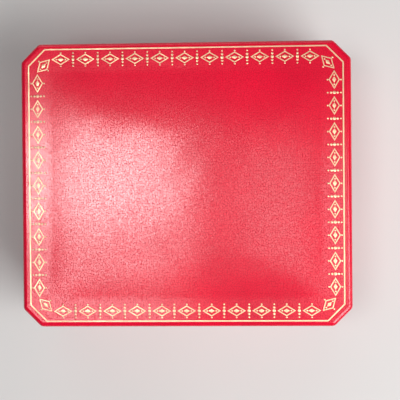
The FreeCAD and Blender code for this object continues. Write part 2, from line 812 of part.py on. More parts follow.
tenon_hole = sketch_on(catch, "XZ_Plane", f"-{CATCH_BACK_Y}")
pocket(catch, circle(tenon_hole, "0", BUTTON_Z, "tenon + stem_clearance"), "4 * catch_plate")
keep(catch, "catch_plate")

spring = new_body("catch_spring")
half_spring = "(catch_width / 2 - catch_room)"
crown = f"({CATCH_BACK_Y} + stem_clearance)"
spring_rise = f"({COVER_Y} - spring - {crown})"
strip = [
    (f"-{half_spring}", f"{COVER_Y} - spring"), (half_spring, f"{COVER_Y} - spring"),
    (half_spring, COVER_Y), (f"-{half_spring}", COVER_Y),
]
strip_sketch = sketch_on(spring, "XY_Plane", BUTTON_Z)
outline(strip_sketch, strip, {0: spring_rise, 2: f"-{spring_rise}"})
pad(spring, strip_sketch, "spring_height", "Symmetric")
keep(spring, "catch_spring")

cover = new_body("catch_cover_blank")
half_cover = "(cover_width / 2)"
cover_sketch = sketch_on(cover, "XZ_Plane", WELL_Y)
outline(cover_sketch, rectangle(f"-{half_cover}", half_cover, COVER_BOTTOM, COVER_TOP))
pad(cover, cover_sketch, "cover")
keep(cut("catch_cover", cover, cover_seats), "catch_cover")


# Check every piece, then write each one to its own file

doc.recompute()
failed = [item.Name for item in doc.Objects if {"Invalid", "Error"} & set(item.State)]
failed += [item.Label for item in sub_parts if item.Shape.isNull() or not item.Shape.isValid()]
failed += [item.Label for item in sub_parts if not item.Shape.Solids]
if failed:
    raise RuntimeError("failed: " + ", ".join(failed))
os.makedirs("parts", exist_ok=True)
for item in sub_parts:
    item.Shape.exportStep(f"parts/{item.Label}.step")
print(len(sub_parts), "sub-parts")
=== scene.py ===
import math

import bmesh
import bpy
from bpy.props import FloatProperty, FloatVectorProperty, IntProperty, PointerProperty
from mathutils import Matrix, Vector


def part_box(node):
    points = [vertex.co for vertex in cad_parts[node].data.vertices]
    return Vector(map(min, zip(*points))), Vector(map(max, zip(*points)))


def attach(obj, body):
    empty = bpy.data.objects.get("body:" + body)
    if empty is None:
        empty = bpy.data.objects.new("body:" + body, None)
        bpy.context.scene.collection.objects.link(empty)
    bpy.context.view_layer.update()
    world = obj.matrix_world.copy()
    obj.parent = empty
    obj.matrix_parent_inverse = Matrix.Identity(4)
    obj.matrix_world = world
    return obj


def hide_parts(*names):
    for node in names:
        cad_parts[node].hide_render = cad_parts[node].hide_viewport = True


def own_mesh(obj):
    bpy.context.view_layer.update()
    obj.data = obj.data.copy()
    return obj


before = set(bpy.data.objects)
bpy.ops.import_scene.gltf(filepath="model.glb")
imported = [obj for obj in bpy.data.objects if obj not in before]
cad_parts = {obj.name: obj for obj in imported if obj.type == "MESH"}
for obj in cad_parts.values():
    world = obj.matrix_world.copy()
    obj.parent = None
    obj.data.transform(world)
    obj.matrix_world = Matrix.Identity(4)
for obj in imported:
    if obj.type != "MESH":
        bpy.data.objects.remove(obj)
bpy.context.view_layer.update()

bl_info = {
    "name": "Keepsake Box",
    "version": (1, 0, 0),
    "blender": (4, 5, 0),
    "location": "View3D > Sidebar > Keepsake Box",
    "description": "Dresses a hinged keepsake box in red grained leather, gold tooling and padded linings",
    "category": "Object",
}

# Places that the CAD frame gives, in metres
lid_low, lid_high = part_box("lid_leather_cover")
base_low, base_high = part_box("base_leather_cover")
pin_low, pin_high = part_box("left_hinge_pin")
hinge_y = (pin_low.y + pin_high.y) / 2
hinge_z = (pin_low.z + pin_high.z) / 2
half_x = lid_high.x
half_y = -lid_low.y
well_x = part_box("base_right_lining")[1].x
well_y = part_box("base_rear_lining")[1].y
HINGES = ("left", "right")
# Height of the padded field over the flat border round it
field_rise = 0.001
border_top = lid_high.z - field_rise
# Two places nearer than this are the same, and a face thinner than a sliver is merged
NEAR = 2e-6
SLIVER = 4e-6
# Room left round a fitting that is let into the leather, and how far a cutting block stands out of it
LET_IN = 0.0001
STAND_OUT = 0.002
# Shares of the padded field's rise, ring by ring from its edge
FIELD_RISES = (0.13, 0.145, 0.14, 0.13, 0.115, 0.1, 0.085, 0.07, 0.05, 0.035)
# Gap between a pad and the walls round it, and how many times its size it is simulated at
PAD_GAP = 0.0004
PAD_SCALE = 10
# Shares of a pad's side: the rings round it and the part that is held, from the seat up
PAD_RINGS = (0.3, 0.7)
PAD_HELD = 0.4
# Shares of a pad's height: its crown's rise before it is filled, and the most that it fills
PAD_DOME = 0.12
PAD_FULL = 0.86
# Shares of the crown's rise, ring by ring from the pad's edge
PAD_CROWN = (0.55, 0.25, 0.12, 0.08)
# Where the photo was taken from: place in metres and turn in degrees
PHOTO_PLACE = (0.03075, -0.00227, 0.56089)
PHOTO_TURN = (-0.65634, 2.72036, -0.48273)
# Height of the softboxes overhead
OVERHEAD = 1.264


def length(name, description, default):
    return FloatProperty(name=name, description=description, default=default, unit="LENGTH", precision=5)


def colour(name, description, default):
    return FloatVectorProperty(name=name, description=description, default=default, size=3, subtype="COLOR")


class KeepsakeLeather(bpy.types.PropertyGroup):
    corner_cut: length("Corner cut", "Leg of the cut at each corner of the plan", 0.009)
    corner_round: length("Corner round", "Radius of the upright edges", 0.0026)
    edge_round: length("Edge round", "Radius of the lid's top edge", 0.0024)
    rim_round: length("Rim round", "Radius of the edges at the rims and the foot", 0.0006)
    thickness: length("Leather", "Thickness of the leather", 0.00055)
    field_inset: length("Field inset", "Width of the flat border round the padded field", 0.013)
    field_cell: length("Field cell", "Size of the mesh cells of the padded field", 0.003)
    lumps: length("Lumps", "Height of the wadding's lumps under the leather", 0.0003)
    lump_spread: length("Lump spread", "Distance between the wadding's lumps", 0.045)
    red: colour("Leather red", "Colour of the leather", (0.76, 0.0013, 0.031))


class KeepsakeTooling(bpy.types.PropertyGroup):
    rule_inset_x: length("Rule inset at the sides", "Side edges to the middle of the rule", 0.00415)
    rule_inset_y: length(
        "Rule inset at front and rear", "Front and rear edges to the middle of the rule", 0.00292
    )
    rule_cut: length("Rule corner", "Leg of the rule's cut corners", 0.0082)
    rule_width: length("Rule width", "Width of the gold rule", 0.0007)
    foil: length("Foil", "Height of the gold foil over the leather", 0.00009)
    lozenge_length: length("Lozenge length", "Length of a lozenge along the border", 0.0094)
    lozenge_width: length("Lozenge width", "Width of a lozenge across the border", 0.0056)
    line: length("Line", "Width of the lozenge's line", 0.00055)
    bead: length("Bead", "Diameter of the larger beads", 0.0014)
    side_count: IntProperty(
        name="Lozenges at the sides", description="Lozenges on each short side", default=9, min=2
    )
    front_count: IntProperty(
        name="Lozenges at the front", description="Lozenges on each long side", default=11, min=2
    )
    corner_room: length("Corner room", "Corner of the border's middle line to the first lozenge", 0.0118)
    corner_shift: length("Corner shift", "How far each corner lozenge sits in from that corner", 0.0031)
    gold: colour("Gold", "Colour of the gold foil", (0.82, 0.57, 0.36))


class KeepsakeCatch(bpy.types.PropertyGroup):
    strip: length("Spring strip", "Thickness of the leaf spring's strip", 0.0003)


class KeepsakeLining(bpy.types.PropertyGroup):
    cell: length("Cell", "Size of the mesh cells of the padded panels", 0.003)
    suede: colour("Suede", "Colour of the suede linings", (0.74, 0.62, 0.46))
    satin: colour("Satin", "Colour of the satin panel in the lid", (0.83, 0.74, 0.58))
    felt: colour("Felt", "Colour of the felt under the box", (0.055, 0.012, 0.014))


class KeepsakeStage(bpy.types.PropertyGroup):
    floor: colour("Floor", "Colour of the floor", (0.62, 0.61, 0.6))
    main: FloatProperty(
        name="Main light", description="Power of the softbox at the side", default=11.2, unit="POWER"
    )
    room: FloatProperty(name="Room light", description="Strength of the even light all round", default=0.06)
    left: FloatProperty(
        name="Left light", description="Power of the left softbox overhead", default=3.0, unit="POWER"
    )
    lens: FloatProperty(name="Lens", description="Focal length of the camera", default=90.0, unit="CAMERA")


# Hand tools for modelling


def only(piece):
    bpy.ops.object.select_all(action="DESELECT")
    piece.select_set(True)
    bpy.context.view_layer.objects.active = piece


def settle(name, size=(1, 1, 1)):
    """Name the new object, give it its size and put that and its place into its mesh."""
    piece = bpy.context.object
    piece.name = name
    piece.data.name = name
    piece.scale = size
    only(piece)
    bpy.ops.object.transform_apply(location=True, rotation=True, scale=True)
    return piece


def add_block(name, low, high):
    low, high = Vector(low), Vector(high)
    bpy.ops.object.select_all(action="DESELECT")
    bpy.ops.mesh.primitive_cube_add(size=1, location=(low + high) / 2)
    return settle(name, high - low)


def add_rod(name, radius, size, middle, turn):
    bpy.ops.object.select_all(action="DESELECT")
    bpy.ops.mesh.primitive_cylinder_add(
        vertices=48, radius=radius, depth=size, location=middle, rotation=turn
    )
    return settle(name)


def edit(piece):
    only(piece)
    bpy.ops.object.mode_set(mode="EDIT")


def leave():
    bpy.ops.object.mode_set(mode="OBJECT")


def pick(kind, test):
    """Select those faces, edges or vertices of the edited mesh that pass a test."""
    bpy.ops.mesh.select_mode(type=kind)
    bpy.ops.mesh.select_all(action="DESELECT")
    data = bpy.context.edit_object.data
    mesh = bmesh.from_edit_mesh(data)
    items = {"VERT": mesh.verts, "EDGE": mesh.edges, "FACE": mesh.faces}[kind]
    chosen = [item for item in items if test(item)]
    if not chosen:
        raise RuntimeError(f"{data.name}: nothing to select")
    for item in chosen:
        item.select_set(True)
    bmesh.update_edit_mesh(data)


def within(x, y, over):
    """A test for vertices inside a rectangle and over a height."""
    return lambda v: v.co.z > over and abs(v.co.x) < x and abs(v.co.y) < y


def upright(edge):
    a, b = (vertex.co for vertex in edge.verts)
    return abs(a.z - b.z) > 1e-4 and (a.xy - b.xy).length < NEAR


def level_edge(height):
    return lambda edge: all(abs(vertex.co.z - height) < NEAR for vertex in edge.verts)


def level_face(height, facing):
    def test(face):
        return face.normal.z * facing > 0.99 and all(abs(v.co.z - height) < NEAR for v in face.verts)

    return test


def round_edges(offset, segments):
    bpy.ops.mesh.bevel(
        offset=offset, offset_type="OFFSET", segments=segments, profile=0.5, clamp_overlap=False
    )


def cut_corners(leg):
    bpy.ops.mesh.bevel(
        offset=leg, offset_type="OFFSET", segments=1, affect="VERTICES", clamp_overlap=False
    )


def raise_selected(height):
    bpy.ops.mesh.extrude_region_move(TRANSFORM_OT_translate={"value": (0, 0, height)})


def outward():
    bpy.ops.mesh.select_all(action="SELECT")
    bpy.ops.mesh.normals_make_consistent(inside=False)


def apply_modifier(piece, kind, **settings):
    modifier = piece.modifiers.new(kind.lower(), kind)
    for name, value in settings.items():
        setattr(modifier, name, value)
    only(piece)
    bpy.ops.object.modifier_apply(modifier=modifier.name)


def take_out(piece, tool):
    apply_modifier(piece, "BOOLEAN", operation="DIFFERENCE", solver="MANIFOLD", object=tool)
    bpy.data.objects.remove(tool)


def smooth(piece, degrees):
    only(piece)
    bpy.ops.object.shade_smooth_by_angle(angle=math.radians(degrees))
    apply_modifier(piece, "WEIGHTED_NORMAL", keep_sharp=True, weight=80)


def join(name, pieces):
    bpy.ops.object.select_all(action="DESELECT")
    for piece in pieces:
        piece.select_set(True)
    bpy.context.view_layer.objects.active = pieces[0]
    bpy.ops.object.join()
    return settle(name)


def finish_piece(piece, material, body, slot, *nodes):
    piece.data.materials.clear()
    piece.data.materials.append(bpy.data.materials[material])
    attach(piece, body)
    if nodes:
        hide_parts(*nodes)
    return piece


# Finishes


def feed(tree, socket, value):
    """Link a node's output to a socket, or set the socket to a plain value."""
    if isinstance(value, bpy.types.NodeSocket):
        tree.links.new(value, socket)
    else:
        socket.default_value = value


def add(tree, kind, settings=None, **inputs):
    """Add a node; in an input's name, _ stands for a space, and i0, i1 and so on are inputs by number."""
    node = tree.nodes.new("ShaderNode" + kind)
    for name, value in (settings or {}).items():
        setattr(node, name, value)
    for name, value in inputs.items():
        key = int(name[1:]) if name[0] == "i" and name[1:].isdigit() else name.replace("_", " ")
        feed(tree, node.inputs[key], value)
    return node


def maths(tree, operation, a, b=0.0, c=0.0):
    return add(tree, "Math", {"operation": operation}, i0=a, i1=b, i2=c).outputs[0]


def spread(tree, value, low, high, to_low=0.0, to_high=1.0):
    node = add(
        tree, "MapRange", None, Value=value, From_Min=low, From_Max=high, To_Min=to_low, To_Max=to_high
    )
    return node.outputs["Result"]


def mix(tree, factor, a, b):
    node = add(tree, "Mix", {"data_type": "RGBA"}, i0=factor)
    for number, shade in ((6, a), (7, b)):
        feed(tree, node.inputs[number], shade if isinstance(shade, bpy.types.NodeSocket) else (*shade, 1))
    return node.outputs[2]


def scaled(shade, factor):
    return tuple(min(1.0, part * factor) for part in shade)


def new_group(name, inputs, outputs):
    group = bpy.data.node_groups.new(name, "ShaderNodeTree")
    for label, kind, default in inputs:
        socket = group.interface.new_socket(name=label, in_out="INPUT", socket_type=kind)
        if default is not None:
            socket.default_value = default
    for label in outputs:
        group.interface.new_socket(name=label, in_out="OUTPUT", socket_type="NodeSocketFloat")
    start = group.nodes.new("NodeGroupInput").outputs
    end = group.nodes.new("NodeGroupOutput").inputs
    return group, start, end


def make_groups():
    """Effects that several finishes share: pebbled grain, mottling, weave and brushing."""
    vector = ("Vector", "NodeSocketVector", None)

    tree, start, end = new_group(
        "pebble_grain", [vector, ("Cell", "NodeSocketFloat", 0.0013)], ["Height", "Valley", "Pebble"]
    )
    density = maths(tree, "DIVIDE", 1.0, start["Cell"])
    wander = add(tree, "TexNoise", None, Vector=start["Vector"], Scale=420.0, Detail=2.0)
    push = add(tree, "VectorMath", {"operation": "MULTIPLY_ADD"})
    tree.links.new(wander.outputs["Color"], push.inputs[0])
    push.inputs[1].default_value = (0.0012, 0.0012, 0.0012)
    tree.links.new(start["Vector"], push.inputs[2])
    cells = add(
        tree, "TexVoronoi", {"voronoi_dimensions": "2D", "feature": "DISTANCE_TO_EDGE"},
        Vector=push.outputs[0], Scale=density, Randomness=0.95,
    )
    domes = add(
        tree, "TexVoronoi", {"voronoi_dimensions": "2D", "feature": "SMOOTH_F1"},
        Vector=push.outputs[0], Scale=density, Smoothness=0.35,
    )
    each = add(
        tree, "TexVoronoi", {"voronoi_dimensions": "2D", "feature": "F1"},
        Vector=push.outputs[0], Scale=density, Randomness=0.95,
    )
    tone = add(tree, "SeparateXYZ", None, Vector=each.outputs["Color"])
    tree.links.new(tone.outputs["X"], end["Pebble"])
    crease = spread(tree, cells.outputs["Distance"], 0.0, 0.26)
    dome = maths(tree, "SUBTRACT", 1.0, domes.outputs["Distance"])
    pores = add(tree, "TexNoise", None, Vector=start["Vector"], Scale=1500.0, Detail=2.0)
    height = maths(tree, "MULTIPLY_ADD", dome, 0.3, maths(tree, "MULTIPLY", crease, 0.4))
    height = maths(tree, "MULTIPLY_ADD", pores.outputs[0], 0.04, height)
    tree.links.new(height, end["Height"])
    closer = maths(tree, "MULTIPLY", density, 1.4)
    worn = add(tree, "TexNoise", None, Vector=start["Vector"], Scale=closer, Detail=2.0)
    broken = spread(tree, worn.outputs[0], 0.4, 0.6, 0.25, 1.0)
    valley = maths(tree, "MULTIPLY", maths(tree, "SUBTRACT", 1.0, crease), broken)
    tree.links.new(valley, end["Valley"])

    sizes = [vector, ("Scale", "NodeSocketFloat", 40.0), ("Contrast", "NodeSocketFloat", 0.5)]
    tree, start, end = new_group("mottle", sizes, ["Factor"])
    cloud = add(
        tree, "TexNoise", None, Vector=start["Vector"], Scale=start["Scale"], Detail=4.0, Roughness=0.55
    )
    low = maths(tree, "MULTIPLY_ADD", start["Contrast"], 0.4, 0.0)
    high = maths(tree, "SUBTRACT", 1.0, low)
    tree.links.new(spread(tree, cloud.outputs[0], low, high), end["Factor"])

    tree, start, end = new_group("weave", [vector, ("Pitch", "NodeSocketFloat", 0.0003)], ["Height"])
    turns = maths(tree, "DIVIDE", math.tau, start["Pitch"])
    parts = add(tree, "SeparateXYZ", None, Vector=start["Vector"])
    warp = maths(tree, "SINE", maths(tree, "MULTIPLY", parts.outputs["X"], turns))
    slower = maths(tree, "MULTIPLY", turns, 0.25)
    weft = maths(tree, "SINE", maths(tree, "MULTIPLY", parts.outputs["Y"], slower))
    slub = add(tree, "TexNoise", None, Vector=start["Vector"], Scale=900.0, Detail=2.0)
    woven = maths(tree, "MULTIPLY_ADD", weft, 0.35, warp)
    tree.links.new(maths(tree, "MULTIPLY_ADD", slub.outputs[0], 0.9, woven), end["Height"])

    sizes = [vector, ("Scale", "NodeSocketFloat", 300.0)]
    tree, start, end = new_group("brushing", sizes, ["Lines", "Stain"])
    stretch = add(tree, "VectorMath", {"operation": "MULTIPLY"})
    tree.links.new(start["Vector"], stretch.inputs[0])
    stretch.inputs[1].default_value = (0.08, 1, 1)
    closer = maths(tree, "MULTIPLY", start["Scale"], 12.0)
    lines = add(tree, "TexNoise", None, Vector=stretch.outputs[0], Scale=closer, Detail=3.0)
    stain = add(tree, "TexNoise", None, Vector=start["Vector"], Scale=start["Scale"], Detail=4.0)
    tree.links.new(lines.outputs[0], end["Lines"])
    tree.links.new(spread(tree, stain.outputs[0], 0.35, 0.7), end["Stain"])


def use_group(tree, name, **inputs):
    node = add(tree, "Group", {"node_tree": bpy.data.node_groups[name]})
    for label, value in inputs.items():
        feed(tree, node.inputs[label], value)
    return node.outputs


def new_material(name):
    made = bpy.data.materials.new(name)
    made.use_nodes = True
    tree = made.node_tree
    tree.nodes.clear()
    shader = tree.nodes.new("ShaderNodeBsdfPrincipled")
    end = tree.nodes.new("ShaderNodeOutputMaterial")
    tree.links.new(shader.outputs[0], end.inputs["Surface"])
    place = tree.nodes.new("ShaderNodeTexCoord").outputs["Object"]
    return tree, shader, place


def set_shader(tree, shader, **inputs):
    for name, value in inputs.items():
        feed(tree, shader.inputs[name.replace("_", " ")], value)


def bump(tree, height, distance, under=None):
    node = add(tree, "Bump", None, Strength=1.0, Distance=distance, Height=height)
    if under is not None:
        tree.links.new(under, node.inputs["Normal"])
    return node.outputs["Normal"]


def make_leather(red):
    tree, shader, place = new_material("grained_leather")
    hide = tree.nodes.new("ShaderNodeTexCoord").outputs["UV"]
    grain = use_group(tree, "pebble_grain", Vector=hide, Cell=0.00115)
    broad = use_group(tree, "mottle", Vector=place, Scale=26.0, Contrast=0.8)["Factor"]
    fine = use_group(tree, "mottle", Vector=place, Scale=160.0, Contrast=0.6)["Factor"]
    shade = mix(tree, broad, scaled(red, 0.9), scaled(red, 1.06))
    shade = mix(tree, maths(tree, "MULTIPLY", fine, 0.25), shade, scaled(red, 0.82))
    # Painted shade: along the grain's creases the base colour goes half way towards a quarter of the red
    shade = mix(tree, maths(tree, "MULTIPLY", grain["Valley"], 0.5), shade, scaled(red, 0.25))
    gloss = spread(tree, fine, 0.0, 1.0, 0.26, 0.34)
    gloss = maths(tree, "MULTIPLY_ADD", grain["Valley"], 0.15, gloss)
    lacquer = spread(tree, grain["Valley"], 0.05, 0.75, 1.0, 0.05)
    lacquer = maths(tree, "MULTIPLY", lacquer, spread(tree, grain["Pebble"], 0.0, 1.0, 0.7, 1.0))
    waves = use_group(tree, "mottle", Vector=place, Scale=55.0, Contrast=0.2)["Factor"]
    loose = bump(tree, waves, 0.00005)
    set_shader(
        tree, shader, Base_Color=shade, Roughness=gloss, IOR=1.5, Specular_IOR_Level=0.1,
        Coat_Weight=lacquer, Coat_IOR=1.65, Coat_Roughness=0.16,
        Normal=bump(tree, grain["Height"], 0.000036, loose),
    )


def make_gold(gold):
    tree, shader, place = new_material("gold_foil")
    brushing = use_group(tree, "brushing", Vector=place, Scale=260.0)
    grain = use_group(tree, "pebble_grain", Vector=place, Cell=0.00135)
    shade = mix(tree, brushing["Stain"], scaled(gold, 0.84), gold)
    set_shader(
        tree, shader, Base_Color=shade, Metallic=1.0, Specular_IOR_Level=0.5,
        Roughness=spread(tree, brushing["Stain"], 0.0, 1.0, 0.46, 0.34),
        Normal=bump(tree, grain["Height"], 0.00002),
    )


def make_brass(name, shade, rough):
    tree, shader, place = new_material(name)
    brushing = use_group(tree, "brushing", Vector=place, Scale=140.0)
    tone = mix(tree, brushing["Stain"], scaled(shade, 0.78), shade)
    set_shader(
        tree, shader, Base_Color=tone, Metallic=1.0,
        Roughness=spread(tree, brushing["Lines"], 0.3, 0.7, rough, rough + 0.14),
        Normal=bump(tree, brushing["Lines"], 0.000012),
    )


def make_suede(name, shade, nap):
    tree, shader, place = new_material(name)
    fuzz = add(tree, "TexNoise", None, Vector=place, Scale=nap, Detail=5.0, Roughness=0.7)
    stroke = use_group(tree, "mottle", Vector=place, Scale=60.0, Contrast=0.7)["Factor"]
    tone = mix(tree, stroke, scaled(shade, 0.86), scaled(shade, 1.06))
    tone = mix(tree, spread(tree, fuzz.outputs[0], 0.3, 0.7, 0.3, 0.0), tone, scaled(shade, 0.6))
    set_shader(
        tree, shader, Base_Color=tone, Roughness=spread(tree, fuzz.outputs[0], 0.3, 0.7, 0.98, 0.86),
        Specular_IOR_Level=0.25, Sheen_Weight=0.35, Sheen_Roughness=0.5,
        Normal=bump(tree, fuzz.outputs[0], 0.00025),
    )


def make_satin(shade):
    tree, shader, place = new_material("cream_satin")
    woven = use_group(tree, "weave", Vector=place, Pitch=0.00032)["Height"]
    stroke = use_group(tree, "mottle", Vector=place, Scale=45.0, Contrast=0.6)["Factor"]
    tone = mix(tree, stroke, scaled(shade, 0.92), scaled(shade, 1.04))
    tone = mix(tree, spread(tree, woven, -1.0, 2.0, 0.22, 0.0), tone, scaled(shade, 0.7))
    set_shader(
        tree, shader, Base_Color=tone, Roughness=spread(tree, woven, -1.0, 2.0, 0.5, 0.36),
        Sheen_Weight=0.25, Sheen_Roughness=0.35, Normal=bump(tree, woven, 0.00002),
    )


def make_wood():
    tree, shader, place = new_material("planed_wood")
    along = add(tree, "Mapping", None, Vector=place, Scale=(6.0, 40.0, 90.0))
    rings = add(
        tree, "TexWave", {"wave_type": "RINGS"},
        Vector=along.outputs[0], Scale=1.6, Distortion=5.0, Detail=3.0,
    )
    pores = add(tree, "TexNoise", None, Vector=along.outputs[0], Scale=14.0, Detail=5.0)
    tone = mix(tree, rings.outputs["Fac"], (0.46, 0.29, 0.15), (0.6, 0.42, 0.24))
    tone = mix(tree, spread(tree, pores.outputs[0], 0.4, 0.7, 0.35, 0.0), tone, (0.3, 0.17, 0.08))
    set_shader(
        tree, shader, Base_Color=tone, Roughness=spread(tree, pores.outputs[0], 0.3, 0.7, 0.72, 0.55),
        Normal=bump(tree, pores.outputs[0], 0.00012),
    )


def make_fibre(name, shade, scale, depth):
    """Felt, card and wadding: matted fibres of one shade."""
    tree, shader, place = new_material(name)
    fibres = add(
        tree, "TexNoise", None, Vector=place, Scale=scale, Detail=6.0, Roughness=0.75, Distortion=0.8
    )
    lumps = use_group(tree, "mottle", Vector=place, Scale=scale / 12, Contrast=0.6)["Factor"]
    tone = mix(tree, lumps, scaled(shade, 0.8), scaled(shade, 1.1))
    tone = mix(tree, spread(tree, fibres.outputs[0], 0.35, 0.65, 0.4, 0.0), tone, scaled(shade, 0.5))
    set_shader(
        tree, shader, Base_Color=tone, Roughness=spread(tree, fibres.outputs[0], 0.3, 0.7, 1.0, 0.88),
        Specular_IOR_Level=0.2, Sheen_Weight=0.3, Normal=bump(tree, fibres.outputs[0], depth),
    )


FINISH_BY_ENDING = {
    "board": "planed_wood",
    "leather_cover": "grained_leather",
    "lining": "ivory_suede",
    "floor_cushion": "ivory_suede",
    "lid_cushion": "cream_satin",
    "padding": "cotton_wadding",
    "felt": "wool_felt",
    "card": "grey_card",
    "spring": "blued_steel",
    "screws": "screw_brass",
    "pin": "screw_brass",
}


def finish_of(node):
    """The finish of a CAD node, by what the piece is made of; the other fittings are polished brass."""
    found = (finish for ending, finish in FINISH_BY_ENDING.items() if node.endswith(ending))
    return next(found, "polished_brass")


class KEEPSAKE_OT_finishes(bpy.types.Operator):
    """Make the finishes and lay them on the pieces that keep their CAD shape"""

    bl_idname = "keepsake.finishes"
    bl_label = "Finishes"

    def execute(self, context):
        scene = context.scene
        lining = scene.keepsake_lining
        make_groups()
        make_leather(scene.keepsake_leather.red)
        make_gold(scene.keepsake_tooling.gold)
        make_brass("polished_brass", (0.86, 0.62, 0.29), 0.2)
        make_brass("screw_brass", (0.8, 0.56, 0.25), 0.28)
        make_brass("blued_steel", (0.5, 0.52, 0.55), 0.3)
        make_suede("ivory_suede", lining.suede, 2400.0)
        make_satin(lining.satin)
        make_wood()
        make_fibre("wool_felt", lining.felt, 1500.0, 0.0003)
        make_fibre("grey_card", (0.34, 0.29, 0.23), 900.0, 0.0001)
        make_fibre("cotton_wadding", (0.8, 0.79, 0.75), 500.0, 0.0006)
        for name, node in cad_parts.items():
            node.data.materials.clear()
            node.data.materials.append(bpy.data.materials[finish_of(name)])
        return {"FINISHED"}


# Leather covers


def leather_block(name, low, high, top_round, top_segments):
    """The outside of one half of the box: a block with cut corners and rounded edges, in edit mode."""
    leather = bpy.context.scene.keepsake_leather
    piece = add_block(name, (-half_x, -half_y, low), (half_x, half_y, high))
    edit(piece)
    pick("EDGE", upright)
    round_edges(leather.corner_cut, 1)
    pick("EDGE", upright)
    round_edges(leather.corner_round * math.tan(math.pi / 8), 4)
    pick("EDGE", level_edge(high))
    round_edges(top_round, top_segments)
    pick("EDGE", level_edge(low))
    round_edges(leather.rim_round, 3)
    return piece


def stop_face(side):
    """Cut the rear rim back to the face where the open lid stops: side is 1 for the lid, -1 for the base."""
    rear = lid_high.y if side > 0 else base_high.y
    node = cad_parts["lid_leather_cover" if side > 0 else "base_leather_cover"]
    edge = [v.co for v in node.data.vertices if abs(v.co.y - rear) < NEAR]
    height = min(v.z for v in edge) if side > 0 else max(v.z for v in edge)
    slope = math.atan2(side * (height - hinge_z), rear - hinge_y)
    bpy.ops.mesh.select_all(action="SELECT")
    bpy.ops.mesh.bisect(
        plane_co=(0, hinge_y, hinge_z), plane_no=(0, math.sin(slope), -side * math.cos(slope)),
        use_fill=True, clear_outer=True,
    )


def open_window(height, facing, x, y):
    """Take a rectangle out of a level face."""
    across, along = (1, 0, 0), (0, 1, 0)
    sides = (((x, 0, 0), across), ((-x, 0, 0), across), ((0, y, 0), along), ((0, -y, 0), along))
    for place, normal in sides:
        pick("FACE", level_face(height, facing))
        bpy.ops.mesh.bisect(plane_co=place, plane_no=normal)
    flat = level_face(height, facing)

    def inside(face):
        middle = face.calc_center_median()
        return flat(face) and abs(middle.x) < x and abs(middle.y) < y

    pick("FACE", inside)
    bpy.ops.mesh.delete(type="FACE")


def clear_hinges(piece, low, high):
    """Let the hinge leaves and barrels into a rim."""
    barrel_room = 0.0003
    for side in HINGES:
        leaf_low, leaf_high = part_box(f"{side}_hinge_base_leaf")
        first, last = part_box(f"{side}_hinge_pin")
        near = (leaf_low.x - LET_IN, well_y - STAND_OUT / 2, low)
        far = (leaf_high.x + LET_IN, hinge_y, high)
        take_out(piece, add_block("room", near, far))
        radius = leaf_high.z - hinge_z + barrel_room
        middle = ((first.x + last.x) / 2, hinge_y, hinge_z)
        run = last.x - first.x + 2 * barrel_room
        take_out(piece, add_rod("room", radius, run, middle, (0, math.pi / 2, 0)))


def clear_plate(piece, node, low, high):
    """Let a plate of the catch into a rim."""
    plate_low, plate_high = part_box(node)
    near = (plate_low.x - LET_IN, plate_low.y - LET_IN, low)
    far = (plate_high.x + LET_IN, plate_high.y + LET_IN, high)
    take_out(piece, add_block("room", near, far))


def mend_cuts(piece):
    """Merge the slivers that the cuts leave and close the slits between them."""
    edit(piece)
    bpy.ops.mesh.select_mode(type="EDGE")
    bpy.ops.mesh.select_all(action="SELECT")
    bpy.ops.mesh.remove_doubles(threshold=SLIVER)
    bpy.ops.mesh.dissolve_degenerate(threshold=SLIVER)
    bpy.ops.mesh.select_all(action="DESELECT")
    bpy.ops.mesh.select_non_manifold(extend=False)
    bpy.ops.mesh.fill_holes(sides=0)
    leave()


def lay_grain(piece):
    """Map each side flat, in metres, so that the leather's grain follows the surface."""
    edit(piece)
    bpy.ops.mesh.select_all(action="SELECT")
    bpy.ops.uv.cube_project(cube_size=1.0, correct_aspect=False)
    leave()


